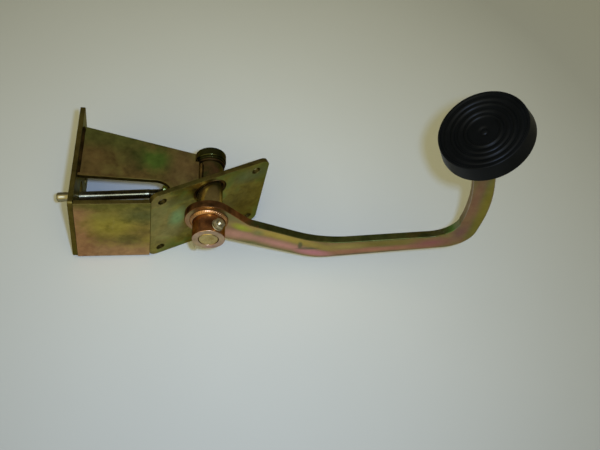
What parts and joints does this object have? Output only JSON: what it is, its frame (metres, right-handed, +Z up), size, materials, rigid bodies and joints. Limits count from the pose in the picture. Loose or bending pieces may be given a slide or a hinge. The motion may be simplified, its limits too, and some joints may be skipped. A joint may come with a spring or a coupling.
{
  "type": "brake pedal assembly",
  "caption": "Under-floor brake pedal: a bent steel arm with a round rubber pad turns on a shaft through a welded bracket, and a lever on the shaft drives a pushrod.",
  "frame": {"origin": "centre of the four bolt holes, on the front face of the slanted frame mounting plate", "axes": "+X along the pushrod from the master cylinder towards the pad, +Y along the pivot shaft from the pedal hub to the operating lever, +Z up as in the car"},
  "size_m": [0.4213, 0.1586, 0.2713],
  "materials": {
    "green_gold_plating": "iridescent yellow zinc plating, green gold",
    "yellow_gold_plating": "iridescent yellow zinc plating, yellow gold",
    "olive_brown_plating": "iridescent yellow zinc plating, olive brown",
    "pink_gold_plating": "iridescent yellow zinc plating, pink gold",
    "copper_brown_plating": "iridescent yellow zinc plating, copper brown, turned surface",
    "dark_plating": "dark olive plating, turned surface",
    "plated_weld": "rippled weld bead under yellow zinc plating",
    "bright_plating": "bright drawn bar under pale zinc plating",
    "pale_zinc_plating": "pale zinc plated fastener",
    "bearing_bronze": "plain bearing bronze",
    "black_rubber": "moulded black rubber, satin"
  },
  "bodies": {
    "bracket": {"master_cylinder_flange": "green_gold_plating", "frame_mounting_plate": "green_gold_plating", "side_plate": "yellow_gold_plating", "deck_plate": "olive_brown_plating", "bearing_tube": "green_gold_plating", "front_bushing": "bearing_bronze", "rear_bushing": "bearing_bronze", "tube_weld": "plated_weld", "deck_tube_weld": "plated_weld", "deck_flange_weld": "plated_weld", "side_flange_weld": "plated_weld", "side_mount_weld": "plated_weld", "deck_mount_weld": "plated_weld"},
    "pedal": {"pedal_arm": "pink_gold_plating", "pedal_hub": "copper_brown_plating", "pivot_shaft": "bright_plating", "hub_weld": "copper_brown_plating", "hub_cross_bolt": "pale_zinc_plating", "hub_nut_washer": "pale_zinc_plating", "hub_head_washer": "pale_zinc_plating", "hub_cross_nut": "pale_zinc_plating", "front_thrust_washer": "pale_zinc_plating", "rear_thrust_washer": "pale_zinc_plating", "lever_collar": "dark_plating", "collar_weld": "plated_weld", "operating_lever": "green_gold_plating", "lever_weld": "plated_weld", "rod_end_ball": "bright_plating", "rod_end_bolt": "pale_zinc_plating", "rod_end_nut": "pale_zinc_plating", "pad_backing_plate": "green_gold_plating", "rubber_pad": "black_rubber", "pad_weld_front": "plated_weld", "pad_weld_rear": "plated_weld"},
    "pushrod": {"rod_end_housing": "pale_zinc_plating", "rod_jam_nut": "pale_zinc_plating", "pushrod": "bright_plating"}
  },
  "joints": [
    {"name": "pedal_pivot", "type": "hinge", "parent": "bracket", "child": "pedal", "pos_m": [0, 0, 0.033], "axis": [0, 1, 0], "range_deg": [-12, 28]},
    {"name": "pushrod_pivot", "type": "hinge", "parent": "pedal", "child": "pushrod", "pos_m": [-0.00218, 0.02795, -0.00854], "axis": [0, 1, 0], "range_deg": [-28, 12]}
  ],
  "couplings": [
    {"joint": "pushrod_pivot", "follows": "pedal_pivot", "ratio": -1}
  ]
}
